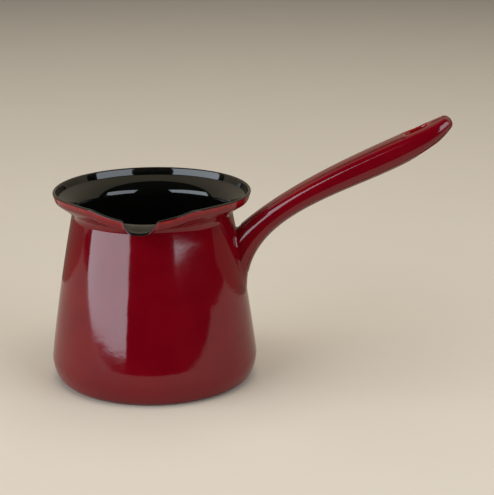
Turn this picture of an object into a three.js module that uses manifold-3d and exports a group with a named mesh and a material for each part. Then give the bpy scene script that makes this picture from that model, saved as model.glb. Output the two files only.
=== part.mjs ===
// Pouring pot for melting candle wax: a drawn steel vessel with a flared, lipped mouth and a
// hollow welded handle, enamelled red outside and black inside. Millimetres, +Z up. The origin is
// the centre of the base on the table, the handle runs along +X and the lip pours towards -Y.

import * as THREE from 'three';
import { mergeVertices } from 'three/addons/utils/BufferGeometryUtils.js';
import Module from 'manifold-3d';

const wasm = await Module();
wasm.setup();

// Sheet and coats
const STEEL = 0.8;
const COAT = 0.3;
const COAT_GAP = 0.1; // between a coat and its steel
const FIT_GAP = 0.3; // between pieces that are cut to each other
const STEEL_INSET = COAT + COAT_GAP;
const WALL = STEEL + 2 * STEEL_INSET;
const EDGE_RADIUS = WALL / 2; // the rim's edge is half round

// Vessel, outside sizes
const HEIGHT = 96.7;
const RIM_RADIUS = 49.2;
const COLLAR_LENGTH = 3; // flat face of the upright collar that ends the flare
const COLLAR_LEAN = radians(18); // outwards, from upright
const CREASE_RADIUS = 0.6; // inside corner between the flare and the collar
const BELLY_RADIUS = 51.8;
const BELLY_HEIGHT = 12.2;
const FOOT_RADIUS = 45.4;
const WAIST_RADIUS = 40.2; // where the side turns into the neck
const NECK_DEPTH = 12.7; // from the rim down to the waist
const SIDE_BULGE = 0.65;
const FLARE_ANGLE = radians(30);
const FLARE_WIDTH = 2.5; // straight part of the flare, measured radially in from the collar
const COLOUR_SPLIT = radians(10); // round the rim's edge, where the red coat meets the black one

// Pouring lip
const LIP_REACH = 3.8;
const LIP_DROP = 4.6; // of the broad V to each side of the channel
const VEE_BOW = 0.4; // 0 makes the V's two sides straight
const CHANNEL_FOLD = radians(36); // how far the collar is folded outwards in the channel
const CHANNEL_SLOPE = 0.5; // how steeply the folded collar is pressed down
const LIP_SPREAD = radians(30);
const CHANNEL_FLOOR = radians(4);
const CHANNEL_EDGE = radians(11);
const FLARE_BEND = 2; // 1 bends the flare evenly, more keeps the bend near the rim
const FLANK_PULL = 2; // how far the rim is drawn in beside the lip
const FLANK_ANGLE = radians(47);
const FLANK_SPREAD = radians(18);

// Handle, given by its upper and lower edge in the XZ plane
const HANDLE_REACH = 146.5; // from the vessel's axis to the end of the lower edge
const HANDLE_TOP = 134.2; // height of the end of the upper edge
const ROOT_TOP = 72.3; // height of the upper edge inside the wall
const ROOT_BOTTOM = 44.1;
const UPPER_SINK = 5; // how far the upper edge starts behind the wall's outside
const LOWER_SINK = 0.5;
const ROOT_WIDTH = 15;
const GRIP_WIDTH = 18;
const TIP_WIDTH = 10; // where the edges end and the tip rounds off
const TIP_START = 0.8; // along the handle, where it begins to narrow
const TIP_SETBACK = 4.5; // how far the upper edge ends short of the lower one
const TIP_DEPTH = 4.7; // between the heights of the two ends
const TIP_ROUNDING = 2.4;
const TIP_TURN = radians(80); // how far round the tip its last ring lies
// How far each edge runs straight on from its root and from its tip, as shares of the grip's
// length and rise
const UPPER_ROOT_BEND = [0.263, 0.451];
const UPPER_TIP_BEND = [0.313, 0.252];
const LOWER_ROOT_BEND = [-0.023, 0.847];
const LOWER_TIP_BEND = [0.191, 0.504];
const SHOULDER_POWER = 3; // 2 is an ellipse, more is squarer
const BELLY_POWER = 2.1;
const SEAM_WIDTH = 1.6;
const WELD_LEG = 1.8;
const SLOT_LENGTH = 12;
const SLOT_WIDTH = 7;
const SLOT_PLACE = 0.87; // along the handle's upper edge, from 0 to 1

// Fineness
const TURNS = 44;
const LIP_CROWDING = 0.45;
const CORNER_STEPS = 4;
const SIDE_STEPS = 3;
const NECK_STEPS = 4;
const BEND_STEPS = 3;
const HANDLE_FACETS = 16;
const HANDLE_STEPS = 18;
const TIP_STEPS = 3;
const SLOT_SEGMENTS = 6;
const SAME_POINT = 1e-5;
const MITRE_LIMIT = 0.5; // keeps a sharp corner from running away when it is offset
const THROUGH = 60; // size of a cutter that has to pass right through the handle

const RED_ENAMEL = { color: 0x7a0a14, roughness: 0.12, metalness: 0 };
const BLACK_ENAMEL = { color: 0x0b0c0a, roughness: 0.1, metalness: 0 };
const BARE_STEEL = { color: 0x8b8d90, roughness: 0.4, metalness: 1 };

const BEND_RADIUS = WALL + CREASE_RADIUS; // outside of the bend below the collar

function radians(degrees) {
  return (degrees * Math.PI) / 180;
}

function polar(radius, angle) {
  return new THREE.Vector2(Math.cos(angle), Math.sin(angle)).multiplyScalar(radius);
}

// ---- Solids -------------------------------------------------------------------------------

function solidOf(geometry) {
  const plain = geometry.clone();
  plain.deleteAttribute('normal');
  plain.deleteAttribute('uv');
  const merged = mergeVertices(plain, SAME_POINT);
  return new wasm.Manifold(new wasm.Mesh({
    numProp: 3,
    vertProperties: merged.attributes.position.array,
    triVerts: new Uint32Array(merged.index.array),
  }));
}

function geometryOf(solid) {
  const mesh = solid.getMesh();
  const geometry = new THREE.BufferGeometry();
  geometry.setAttribute('position', new THREE.BufferAttribute(mesh.vertProperties, 3));
  geometry.setIndex(new THREE.BufferAttribute(mesh.triVerts, 1));
  return geometry;
}

function reshape(geometry, move) {
  const places = geometry.attributes.position;
  const point = new THREE.Vector3();
  for (let i = 0; i < places.count; i += 1) {
    point.fromBufferAttribute(places, i);
    move(point);
    places.setXYZ(i, point.x, point.y, point.z);
  }
  return geometry;
}

// ---- Vessel -------------------------------------------------------------------------------

// Moves each point of an outline sideways by the same distance, to the left of its direction.
function offsetOutline(outline, distance) {
  return outline.map((point, i) => {
    const before = point.clone().sub(outline[Math.max(i - 1, 0)]).normalize();
    const after = outline[Math.min(i + 1, outline.length - 1)].clone().sub(point).normalize();
    const along = before.clone().add(after).normalize();
    const stretch = Math.max(along.dot(after.length() ? after : before), MITRE_LIMIT);
    const sideways = new THREE.Vector2(-along.y, along.x);
    const moved = sideways.multiplyScalar(distance / stretch).add(point);
    return point.x === 0 ? moved.setX(0) : moved;
  });
}

// Middle of the rim's rounded edge.
function edgeCentre() {
  return new THREE.Vector2(RIM_RADIUS - EDGE_RADIUS, HEIGHT - EDGE_RADIUS);
}

// Where the collar's flat outside ends, below the rim's edge.
function collarTop() {
  return edgeCentre().add(polar(EDGE_RADIUS, -COLLAR_LEAN));
}

// Middle of the bend between the flare and the collar.
function bendCentre() {
  const foot = collarTop().sub(polar(COLLAR_LENGTH, Math.PI / 2 - COLLAR_LEAN));
  return foot.sub(polar(BEND_RADIUS, -COLLAR_LEAN));
}

function arcPoints(centre, radius, from, to, steps) {
  return Array.from({ length: steps + 1 }, (_, i) =>
    polar(radius, THREE.MathUtils.lerp(from, to, i / steps)).add(centre));
}

// The collar's outside, from the end of the flare up to the rim's edge.
function collarPoints() {
  const bend = arcPoints(
    bendCentre(), BEND_RADIUS, FLARE_ANGLE - Math.PI / 2, -COLLAR_LEAN, BEND_STEPS);
  return [...bend, collarTop()];
}

function cornerPoints() {
  const corner = new THREE.EllipseCurve(
    FOOT_RADIUS, BELLY_HEIGHT, BELLY_RADIUS - FOOT_RADIUS, BELLY_HEIGHT, -Math.PI / 2, 0);
  return corner.getPoints(CORNER_STEPS);
}

function sidePoints() {
  const waistHeight = HEIGHT - NECK_DEPTH;
  return Array.from({ length: SIDE_STEPS }, (_, i) => {
    const share = (i + 1) / SIDE_STEPS;
    const bulge = SIDE_BULGE * 4 * share * (1 - share);
    return new THREE.Vector2(
      THREE.MathUtils.lerp(BELLY_RADIUS, WAIST_RADIUS, share) + bulge,
      THREE.MathUtils.lerp(BELLY_HEIGHT, waistHeight, share));
  });
}

// The neck turns smoothly from the side's lean to the flare's slope.
function neckPoints() {
  const waist = new THREE.Vector2(WAIST_RADIUS, HEIGHT - NECK_DEPTH);
  const slope = polar(1, FLARE_ANGLE);
  const flare = collarPoints()[0].sub(slope.clone().multiplyScalar(FLARE_WIDTH / slope.x));
  const lean = new THREE.Vector2(
    WAIST_RADIUS - BELLY_RADIUS, waist.y - BELLY_HEIGHT).normalize();
  const span = flare.clone().sub(waist);
  const reach = span.cross(slope) / lean.cross(slope);
  const corner = lean.multiplyScalar(reach).add(waist);
  return new THREE.QuadraticBezierCurve(waist, corner, flare).getPoints(NECK_STEPS).slice(1);
}

// The visible outside, from the middle of the base to where the colours meet on the rim's edge.
function outsideOutline() {
  return [
    new THREE.Vector2(0, 0),
    ...cornerPoints(),
    ...sidePoints(),
    ...neckPoints(),
    ...collarPoints(),
    polar(EDGE_RADIUS, COLOUR_SPLIT).add(edgeCentre()),
  ];
}

// The visible inside, from where the colours meet on the rim's edge to the middle of the bottom.
function insideOutline() {
  const start = COLOUR_SPLIT + FIT_GAP / EDGE_RADIUS;
  const wall = [
    new THREE.Vector2(0, 0), ...cornerPoints(), ...sidePoints(), ...neckPoints(), ...collarPoints()];
  const inner = offsetOutline(wall, WALL).slice(0, -1).reverse();
  const edge = arcPoints(edgeCentre(), EDGE_RADIUS, start, Math.PI - COLLAR_LEAN, BEND_STEPS);
  return [...edge, ...inner];
}

// Gathers the turned facets near the lip, where the shape needs them most.
function crowdTowardsLip(point) {
  const radius = Math.hypot(point.x, point.y);
  const angle = Math.atan2(point.x, -point.y);
  const nearer = angle - LIP_CROWDING * Math.sin(angle);
  point.set(radius * Math.sin(nearer), -radius * Math.cos(nearer), point.z);
}

function fade(value, full, none) {
  return 1 - THREE.MathUtils.smoothstep(Math.abs(value), full, none);
}

// Folds the collar outwards. Its bend opens by the same angle.
function foldCollar(place, fold) {
  const centre = bendCentre();
  const around = Math.atan2(place.y - centre.y, place.x - centre.x);
  const bendStart = FLARE_ANGLE - Math.PI / 2;
  const share = THREE.MathUtils.clamp(
    (around - bendStart) / (-COLLAR_LEAN - bendStart), 0, 1);
  return place.rotateAround(centre, -fold * share);
}

// Presses the pouring lip into the flare. The flare bends about a line a little above the waist,
// a broad V falls to the channel from both sides, and the rim beside it is drawn in. The collar
// keeps its shape, except in the channel, where it is folded down.
function pressLip(point) {
  const angle = Math.atan2(point.x, -point.y);
  const channel = fade(angle, CHANNEL_FLOOR, CHANNEL_EDGE);
  const spread = Math.abs(angle) / LIP_SPREAD;
  const vee = spread < 1 ? (1 - spread) * (1 + VEE_BOW * spread) : 0;
  const flank = Math.exp(-(((Math.abs(angle) - FLANK_ANGLE) / FLANK_SPREAD) ** 2));
  const place = new THREE.Vector2(Math.hypot(point.x, point.y), point.z);
  foldCollar(place, CHANNEL_FOLD * channel);
  const slope = polar(1, FLARE_ANGLE);
  const past = place.clone().sub(bendCentre()).dot(slope);
  const reach = edgeCentre().sub(bendCentre()).dot(slope);
  const flareLength = (RIM_RADIUS - WAIST_RADIUS) / slope.x - reach;
  const weight = THREE.MathUtils.clamp(1 + past / flareLength, 0, 1) ** FLARE_BEND;
  place.x += weight * (LIP_REACH * channel - FLANK_PULL * flank * (1 - channel));
  place.y -= weight * LIP_DROP * vee + CHANNEL_SLOPE * channel * Math.max(past, 0);
  point.set(place.x * Math.sin(angle), -place.x * Math.cos(angle), place.y);
}

function turned(outline) {
  const lathe = new THREE.LatheGeometry(outline, TURNS);
  lathe.rotateX(Math.PI / 2);
  return lathe;
}

// Splits the facets between two stations of a turned layer along their other diagonal, so that
// faces that lie on each other bend alike where the lip is pressed.
function swapDiagonals(lathe, stations, first, last) {
  const corners = lathe.index.array;
  for (let turn = 0; turn < TURNS; turn += 1) {
    for (let station = first; station < last; station += 1) {
      const place = 6 * (turn * (stations - 1) + station);
      const [a, b, d, c] = corners.slice(place, place + 4);
      corners.set([a, b, c, a, c, d], place);
    }
  }
}

function vesselLayer(outline, firstHidden = 0, lastHidden = 0) {
  const lathe = turned(outline);
  swapDiagonals(lathe, outline.length, firstHidden, lastHidden);
  reshape(lathe, crowdTowardsLip);
  return reshape(lathe, pressLip);
}

// The whole skin of the vessel's wall, moved into the wall by the distance.
function skinOutline(distance) {
  return offsetOutline([...outsideOutline(), ...insideOutline()], distance);
}

function vesselBodyGeometry() {
  return vesselLayer(skinOutline(STEEL_INSET));
}

function innerEnamelGeometry() {
  const visible = insideOutline();
  const hidden = skinOutline(COAT).slice(-visible.length).reverse();
  return vesselLayer([...hidden, ...visible], 0, hidden.length - 1);
}

function outerEnamelGeometry() {
  const visible = outsideOutline();
  const hidden = skinOutline(COAT).slice(0, visible.length).reverse();
  const outline = [...visible, ...hidden];
  const coat = solidOf(vesselLayer(outline, visible.length - 1, outline.length - 1));
  return geometryOf(coat.subtract(handleLoft(STEEL_INSET - WELD_LEG - FIT_GAP)));
}

// The vessel as one plain solid, its steel's outside grown by the distance, for cutting the root.
function vesselCutter(grow) {
  const wall = [...cornerPoints(), ...sidePoints(), ...neckPoints()];
  const grown = offsetOutline(wall, STEEL_INSET - grow);
  const top = grown[grown.length - 1];
  const outline = [
    new THREE.Vector2(0, grown[0].y), ...grown, new THREE.Vector2(0, top.y)];
  const cutter = turned(outline);
  return solidOf(reshape(cutter, crowdTowardsLip));
}

// ---- Handle -------------------------------------------------------------------------------

const GRIP_LENGTH = HANDLE_REACH - WAIST_RADIUS;
const GRIP_RISE = HANDLE_TOP - ROOT_TOP;

// Outside radius of the vessel's side at a height.
function sideRadius(height) {
  const waistHeight = HEIGHT - NECK_DEPTH;
  const share = (height - BELLY_HEIGHT) / (waistHeight - BELLY_HEIGHT);
  return THREE.MathUtils.lerp(BELLY_RADIUS, WAIST_RADIUS, share);
}

function edgeCurve(start, end, rootBend, tipBend) {
  const grip = new THREE.Vector2(GRIP_LENGTH, GRIP_RISE);
  const nearRoot = new THREE.Vector2(...rootBend).multiply(grip).add(start);
  const nearTip = end.clone().sub(new THREE.Vector2(...tipBend).multiply(grip));
  return new THREE.CubicBezierCurve(start, nearRoot, nearTip, end);
}

function upperEdge() {
  const start = new THREE.Vector2(sideRadius(ROOT_TOP) - UPPER_SINK, ROOT_TOP);
  const end = new THREE.Vector2(HANDLE_REACH - TIP_SETBACK, HANDLE_TOP);
  return edgeCurve(start, end, UPPER_ROOT_BEND, UPPER_TIP_BEND);
}

function lowerEdge() {
  const start = new THREE.Vector2(sideRadius(ROOT_BOTTOM) - LOWER_SINK, ROOT_BOTTOM);
  const end = new THREE.Vector2(HANDLE_REACH, HANDLE_TOP - TIP_DEPTH);
  return edgeCurve(start, end, LOWER_ROOT_BEND, LOWER_TIP_BEND);
}

function handleHalfWidth(along) {
  const grip = THREE.MathUtils.lerp(ROOT_WIDTH, GRIP_WIDTH, along);
  const nearTip = THREE.MathUtils.clamp((along - TIP_START) / (1 - TIP_START), 0, 1);
  return (grip - (GRIP_WIDTH - TIP_WIDTH) * nearTip ** 3) / 2;
}

// A point of the handle's surface: along runs from the root to the tip, and around is an angle
// that is 0 at the back, a quarter turn at the upper edge and half a turn at the front.
function handlePoint(along, around, shrink, inset) {
  const upper = upperEdge().getPoint(along);
  const lower = lowerEdge().getPoint(along);
  const middle = upper.clone().add(lower).multiplyScalar(0.5);
  const up = upper.clone().sub(lower);
  const halfDepth = up.length() / 2 - inset;
  up.normalize();
  const power = 2 / (Math.sin(around) > 0 ? SHOULDER_POWER : BELLY_POWER);
  const side = Math.sign(Math.cos(around)) * Math.abs(Math.cos(around)) ** power;
  const rise = Math.sign(Math.sin(around)) * Math.abs(Math.sin(around)) ** power;
  const bulge = (TIP_ROUNDING - inset) * Math.sqrt(1 - shrink * shrink);
  middle.add(new THREE.Vector2(up.y, -up.x).multiplyScalar(bulge));
  middle.add(up.multiplyScalar(rise * halfDepth * shrink));
  const across = side * (handleHalfWidth(along) - inset) * shrink;
  return new THREE.Vector3(middle.x, across, middle.y);
}

// The handle as one plain solid, its surface moved in by the inset.
function handleLoft(inset) {
  const steps = HANDLE_STEPS + TIP_STEPS;
  const loft = new THREE.CylinderGeometry(1, 1, steps, HANDLE_FACETS, steps);
  reshape(loft, (point) => {
    const step = steps / 2 - point.y;
    const past = Math.max(step - HANDLE_STEPS, 0) / TIP_STEPS;
    const along = Math.min(step / HANDLE_STEPS, 1);
    const onSkin = Math.hypot(point.x, point.z) > SAME_POINT;
    const shrink = Math.cos(past * TIP_TURN);
    const around = Math.atan2(point.z, point.x);
    const place = handlePoint(along, around, shrink, inset);
    const centre = handlePoint(along, Math.PI / 2, shrink, inset)
      .add(handlePoint(along, -Math.PI / 2, shrink, inset)).multiplyScalar(0.5);
    point.copy(onSkin ? place : centre);
  });
  return solidOf(loft);
}

// The hanging slot, square to the handle's upper edge and grown all round by the distance.
function slotCutter(grow) {
  const radius = SLOT_WIDTH / 2 + grow;
  const half = (SLOT_LENGTH - SLOT_WIDTH) / 2;
  const outline = new THREE.Shape();
  outline.absarc(half, 0, radius, -Math.PI / 2, Math.PI / 2, false);
  outline.absarc(-half, 0, radius, Math.PI / 2, (3 * Math.PI) / 2, false);
  const slot = new THREE.ExtrudeGeometry(
    outline, { depth: THROUGH, bevelEnabled: false, curveSegments: SLOT_SEGMENTS });
  slot.translate(0, 0, -THROUGH / 2);
  const along = upperEdge().getTangent(SLOT_PLACE);
  slot.rotateY(-Math.atan2(along.y, along.x));
  const middle = handlePoint(SLOT_PLACE, 0, 1, 0);
  slot.translate(middle.x, 0, middle.z);
  return solidOf(slot);
}

// A curved slab that holds the handle's mid-line between its two faces, wide enough to cut it.
function seamSlab(below, above) {
  const outline = [];
  for (let i = 0; i <= HANDLE_STEPS; i += 1) {
    const middle = handlePoint(i / HANDLE_STEPS, 0, 1, 0);
    outline.push(new THREE.Vector2(middle.x, middle.z));
  }
  const last = outline[HANDLE_STEPS];
  const pastTip = last.clone().sub(outline[HANDLE_STEPS - 1]).multiplyScalar(2).add(last);
  outline.push(pastTip);
  const lower = offsetOutline(outline, below);
  const upper = offsetOutline(outline, above).reverse();
  const slab = new THREE.ExtrudeGeometry(
    new THREE.Shape([...lower, ...upper]), { depth: THROUGH, bevelEnabled: false });
  slab.translate(0, 0, -THROUGH / 2);
  slab.rotateX(Math.PI / 2);
  return solidOf(slab);
}

function handleSteel() {
  const outside = handleLoft(STEEL_INSET).subtract(slotCutter(STEEL_INSET));
  const inside = handleLoft(STEEL_INSET + STEEL).subtract(slotCutter(STEEL_INSET + STEEL));
  return outside.subtract(inside).subtract(vesselCutter(FIT_GAP));
}

function handleShellGeometry(below, above) {
  return geometryOf(handleSteel().intersect(seamSlab(below, above)));
}

function seamWeldGeometry() {
  const half = SEAM_WIDTH / 2 - FIT_GAP;
  const collar = slotCutter(STEEL_INSET + STEEL + FIT_GAP);
  const clearOfRoot = vesselCutter(WELD_LEG + FIT_GAP);
  const strip = handleSteel().intersect(seamSlab(-half, half));
  return geometryOf(strip.subtract(collar).subtract(clearOfRoot));
}

function handleEnamelGeometry() {
  const outside = handleLoft(0).subtract(slotCutter(0));
  const inside = handleLoft(COAT).subtract(slotCutter(COAT));
  return geometryOf(outside.subtract(inside).subtract(vesselCutter(WELD_LEG + FIT_GAP)));
}

function rootWeldGeometry() {
  const around = handleLoft(STEEL_INSET - WELD_LEG).subtract(handleLoft(STEEL_INSET - FIT_GAP));
  return geometryOf(around.intersect(vesselCutter(WELD_LEG)).subtract(vesselCutter(FIT_GAP)));
}

// ---- Assembly -----------------------------------------------------------------------------

const pot = new THREE.Group();

function addPiece(name, geometry, finish) {
  const piece = new THREE.Mesh(geometry, new THREE.MeshStandardMaterial(finish));
  piece.name = name;
  pot.add(piece);
}

addPiece('vessel_body', vesselBodyGeometry(), BARE_STEEL);
addPiece('vessel_outer_enamel', outerEnamelGeometry(), RED_ENAMEL);
addPiece('vessel_inner_enamel', innerEnamelGeometry(), BLACK_ENAMEL);
addPiece('handle_upper_shell', handleShellGeometry(SEAM_WIDTH / 2, THROUGH), BARE_STEEL);
addPiece('handle_lower_shell', handleShellGeometry(-THROUGH, -SEAM_WIDTH / 2), BARE_STEEL);
addPiece('handle_seam_weld', seamWeldGeometry(), BARE_STEEL);
addPiece('handle_enamel', handleEnamelGeometry(), RED_ENAMEL);
addPiece('handle_root_weld', rootWeldGeometry(), RED_ENAMEL);

export default pot;
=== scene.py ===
"""Enamelled pouring pot for melting candle wax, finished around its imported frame.

The file is laid out as an add-on: sizes and colours are properties, each piece or group of like
pieces has an operator, and the sidebar panel lists them. Metres, +Z up, the handle runs along +X
and the lip pours towards -Y.
"""

import math

import bmesh
import bpy
from bpy.props import FloatProperty, FloatVectorProperty, PointerProperty
from mathutils import Matrix, Vector, noise


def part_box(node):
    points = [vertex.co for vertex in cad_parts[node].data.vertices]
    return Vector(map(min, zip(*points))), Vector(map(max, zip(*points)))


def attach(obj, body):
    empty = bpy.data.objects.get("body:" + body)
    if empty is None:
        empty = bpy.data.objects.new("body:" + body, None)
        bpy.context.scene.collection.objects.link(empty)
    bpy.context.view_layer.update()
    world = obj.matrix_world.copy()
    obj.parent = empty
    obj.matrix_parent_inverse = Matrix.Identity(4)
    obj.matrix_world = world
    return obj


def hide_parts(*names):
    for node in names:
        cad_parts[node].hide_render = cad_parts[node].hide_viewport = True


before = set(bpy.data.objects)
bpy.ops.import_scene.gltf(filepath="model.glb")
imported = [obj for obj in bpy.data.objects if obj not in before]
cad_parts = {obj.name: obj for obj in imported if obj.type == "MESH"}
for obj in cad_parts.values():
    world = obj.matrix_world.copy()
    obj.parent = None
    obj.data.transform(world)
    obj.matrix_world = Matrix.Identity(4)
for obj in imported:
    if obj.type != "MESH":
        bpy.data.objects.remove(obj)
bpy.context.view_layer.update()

bl_info = {
    "name": "Wax Melting Pot",
    "version": (1, 0, 0),
    "blender": (4, 5, 0),
    "location": "View3D > Sidebar > Wax Pot",
    "description": "Enamelled pouring pot for melting candle wax",
    "category": "Add Mesh",
}

MM = 0.001
TAU = 2 * math.pi
OUTER_LOW, OUTER_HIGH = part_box("vessel_outer_enamel")
INNER_LOW, INNER_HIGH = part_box("vessel_inner_enamel")
HANDLE_LOW, HANDLE_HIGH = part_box("handle_enamel")
WELD_LOW, WELD_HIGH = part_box("handle_root_weld")

# Fineness of the meshes
TURNS = 240
CORNER_STEPS = 14
SIDE_STEPS = 12
NECK_STEPS = 16
BEND_STEPS = 10
FLAT_STEPS = 4
GRIP_STEPS = 64
TIP_STEPS = 6
GRIP_FACETS = 32
SLOT_COLUMNS = 8
SLOT_ROWS = 8
WELD_TURNS = 96
WELD_STEPS = 8
BASE_STEPS = 4
SLOT_TURN_STEPS = 3
SEAM_FACETS = 10
SEARCH_STEPS = 30
SAME_POINT = 0.001 * MM


# ---- Sizes and colours ----


def length(name, description, default):
    return FloatProperty(
        name=name, description=description, default=default, unit="LENGTH", precision=5)


def angle(name, description, degrees):
    return FloatProperty(
        name=name, description=description, default=math.radians(degrees), subtype="ANGLE")


def factor(name, description, default, top=1.0):
    return FloatProperty(
        name=name, description=description, default=default, min=0, max=top, subtype="FACTOR")


def colour(name, description, default):
    return FloatVectorProperty(
        name=name, description=description, default=default, size=3, min=0, max=1, subtype="COLOR")


class VesselSizes(bpy.types.PropertyGroup):
    """Outside sizes of the drawn vessel, and the thickness of its sheet and coats."""

    height: length("Height", "From the table to the top of the rim", INNER_HIGH.z)
    belly_radius: length("Belly radius", "Where the vessel is widest", OUTER_HIGH.y)
    belly_height: length("Belly height", "Height of the widest place", 12.2 * MM)
    foot_radius: length("Foot radius", "Edge of the flat base", 45.4 * MM)
    waist_radius: length("Waist radius", "Where the side turns into the neck", 40.2 * MM)
    neck_depth: length("Neck depth", "From the rim down to the waist", 12.7 * MM)
    side_bulge: length("Side bulge", "How far the side swells between belly and waist", 0.65 * MM)
    rim_radius: length("Rim radius", "Outside of the rim, away from the lip", 49.2 * MM)
    collar_length: length("Collar length", "Flat face of the upright collar that ends the flare", 3 * MM)
    collar_lean: angle("Collar lean", "How far the collar leans outwards from upright", 18)
    crease_radius: length("Crease radius", "Inside corner between flare and collar", 0.6 * MM)
    flare_angle: angle("Flare angle", "Slope of the flare below the rim", 30)
    flare_width: length("Flare width", "Straight part of the flare, measured radially", 2.5 * MM)
    colour_split: angle("Colour split", "Round the rim's edge, where the red coat ends", 10)
    split_waver: angle("Colour split waver", "How far the end of the red coat wanders", 7)
    steel: length("Sheet", "Thickness of the steel", 0.8 * MM)
    coat: length("Coat", "Thickness of the enamel", 0.3 * MM)
    coat_gap: length("Coat gap", "Between a coat and its steel", 0.1 * MM)


class LipSizes(bpy.types.PropertyGroup):
    """How the pouring lip is pressed into the flare."""

    reach: length("Reach", "How far the channel stands out from the rim", 3.8 * MM)
    vee_drop: length("V drop", "Depth of the broad V on each side of the channel", 4.6 * MM)
    vee_bow: factor("V bow", "How much the sides of the V bow upwards", 0.4)
    channel_fold: angle("Channel fold", "How far the collar is folded outwards in the channel", 36)
    channel_slope: factor("Channel slope", "How steeply the folded collar is pressed down", 0.5)
    spread: angle("Spread", "Where the V begins, to each side", 30)
    channel_floor: angle("Channel floor", "Half the flat floor of the channel", 4)
    channel_edge: angle("Channel edge", "Half the channel, over its shoulders", 11)
    bend: factor("Bend", "1 bends the flare evenly, more keeps the bend near the rim", 2, 5)
    flank_pull: length("Flank pull", "How far the rim is drawn in beside the lip", 2 * MM)
    flank_angle: angle("Flank angle", "Where the rim is drawn in the most", 47)
    flank_spread: angle("Flank spread", "How wide the drawn-in stretch is", 18)


class HandleSizes(bpy.types.PropertyGroup):
    """The hollow handle, its hanging slot and its weld to the vessel."""

    root_width: length("Root width", "Across the handle at the vessel", 15 * MM)
    grip_width: length("Grip width", "Across the handle near the slot", 18 * MM)
    tip_width: length("Tip width", "Where the tip starts to round off", 10 * MM)
    tip_start: factor("Tip start", "Along the handle, where it begins to narrow", 0.8)
    tip_rounding: length("Tip rounding", "How far the rounded end stands out", 2.4 * MM)
    shoulder_power: factor("Shoulder", "2 is an ellipse, more makes squarer shoulders", 3, 6)
    belly_power: factor("Underside", "2 is an ellipse, more makes a squarer underside", 2.1, 6)
    slot_place: factor("Slot place", "Along the handle, where the slot is", 0.87)
    slot_length: length("Slot length", "Along the handle", 12 * MM)
    slot_width: length("Slot width", "Across the handle", 7 * MM)
    slot_rounding: length("Slot rounding", "Turned-in edge of the slot", 1.1 * MM)
    weld_leg: length("Weld leg", "Size of the weld round the root", 1.8 * MM)
    weld_lumps: length("Weld lumps", "Unevenness of the weld under its enamel", 0.16 * MM)
    seam_width: length("Seam width", "Weld between the two handle shells", 1.0 * MM)


class Finishes(bpy.types.PropertyGroup):
    """Colours and gloss of the enamel and the steel."""

    red: colour("Red", "Red enamel outside", (0.128, 0.0004, 0.0042))
    # Lighter red on the rim's edge and round the slot: partly a thinner coat, partly painted light
    red_thin_and_lit: colour("Thin red", "Red enamel on the rim and on edges", (0.24, 0.004, 0.006))
    red_gloss: factor("Red roughness", "Roughness of the red enamel", 0.075)
    black: colour("Black", "Black enamel inside", (0.0018, 0.0022, 0.0014))
    black_thin: colour("Worn black", "Black enamel on the rim", (0.008, 0.006, 0.005))
    black_gloss: factor("Black roughness", "Roughness of the black enamel", 0.06)
    steel: colour("Steel", "Bare drawn sheet", (0.52, 0.53, 0.55))
    floor: colour("Floor", "Plain pale floor", (0.66, 0.58, 0.47))


# ---- Outlines of the vessel, as (radius, height) ----


def polar(radius, turn):
    return Vector((math.cos(turn), math.sin(turn))) * radius


def mix(low, high, share):
    return low + (high - low) * share


def smoothstep(value, low, high):
    share = min(max((value - low) / (high - low), 0), 1)
    return share * share * (3 - 2 * share)


def wall_thickness(vessel):
    return vessel.steel + 2 * (vessel.coat + vessel.coat_gap)


def edge_radius(vessel):
    """The rim's edge is half round."""
    return wall_thickness(vessel) / 2


def bend_radius(vessel):
    """Outside of the bend below the collar."""
    return wall_thickness(vessel) + vessel.crease_radius


def edge_centre(vessel):
    radius = edge_radius(vessel)
    return Vector((vessel.rim_radius - radius, vessel.height - radius))


def collar_top(vessel):
    """Where the collar's flat outside ends, below the rim's edge."""
    return edge_centre(vessel) + polar(edge_radius(vessel), -vessel.collar_lean)


def bend_centre(vessel):
    """Middle of the bend between the flare and the collar."""
    foot = collar_top(vessel) - polar(vessel.collar_length, math.pi / 2 - vessel.collar_lean)
    return foot - polar(bend_radius(vessel), -vessel.collar_lean)


def arc(centre, radius, start, end):
    turns = [mix(start, end, i / BEND_STEPS) for i in range(BEND_STEPS + 1)]
    return [centre + polar(radius, turn) for turn in turns]


def straight(start, end):
    """The points strictly between two others."""
    return [start.lerp(end, i / FLAT_STEPS) for i in range(1, FLAT_STEPS)]


def collar_outline(vessel):
    """The collar's outside, from the end of the flare up to the rim's edge."""
    start = vessel.flare_angle - math.pi / 2
    bend = arc(bend_centre(vessel), bend_radius(vessel), start, -vessel.collar_lean)
    top = collar_top(vessel)
    return bend + straight(bend[-1], top) + [top]


def waist_height(vessel):
    return vessel.height - vessel.neck_depth


def corner_outline(vessel):
    turns = [mix(-math.pi / 2, 0, i / CORNER_STEPS) for i in range(CORNER_STEPS + 1)]
    reach = vessel.belly_radius - vessel.foot_radius
    return [Vector((vessel.foot_radius + reach * math.cos(turn),
                    vessel.belly_height * (1 + math.sin(turn)))) for turn in turns]


def side_radius(vessel, height):
    """Outside radius of the side, between the belly and the waist."""
    share = (height - vessel.belly_height) / (waist_height(vessel) - vessel.belly_height)
    bulge = vessel.side_bulge * 4 * share * (1 - share)
    return mix(vessel.belly_radius, vessel.waist_radius, share) + bulge


def side_outline(vessel):
    heights = [mix(vessel.belly_height, waist_height(vessel), (i + 1) / SIDE_STEPS)
               for i in range(SIDE_STEPS)]
    return [Vector((side_radius(vessel, height), height)) for height in heights]


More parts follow.
